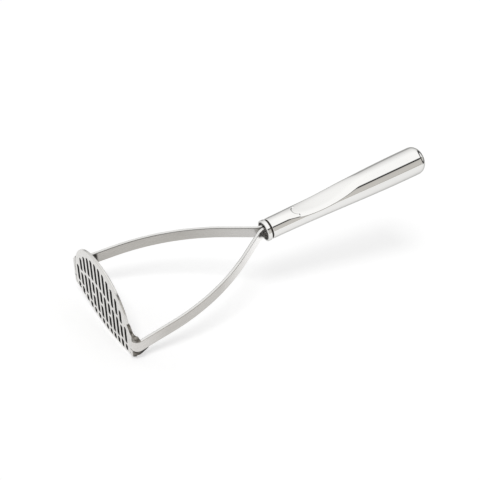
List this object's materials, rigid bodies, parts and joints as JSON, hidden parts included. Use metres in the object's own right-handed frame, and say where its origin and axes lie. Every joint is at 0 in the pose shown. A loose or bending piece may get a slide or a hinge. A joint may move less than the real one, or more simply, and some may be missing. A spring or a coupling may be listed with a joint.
{
  "type": "potato masher",
  "caption": "Hand potato masher: a flat slotted plate on bowed strap arms that meet in a collar at the front of a hollow steel handle with a thumb rest.",
  "frame": {"origin": "where the handle's axis meets the mashing face", "axes": "+Z along the handle, from the mashing face to the butt; +X across the two arms; the thumb rest and the plate's rounded side face -Y"},
  "size_m": [0.104, 0.0722, 0.305],
  "materials": {
    "plate_steel": "satin stamped steel",
    "strap_steel": "brushed along the strap",
    "weld_steel": "heat-darkened weld metal",
    "polished_steel": "mirror polished stainless steel",
    "plug_plastic": "dark moulded plastic"
  },
  "bodies": {
    "root": {"mash_plate": "plate_steel", "left_arm": "strap_steel", "right_arm": "strap_steel", "left_round_weld": "weld_steel", "left_shallow_weld": "weld_steel", "right_round_weld": "weld_steel", "right_shallow_weld": "weld_steel", "ferrule": "polished_steel", "neck_plug": "plug_plastic", "handle_shell": "polished_steel"}
  },
  "joints": []
}
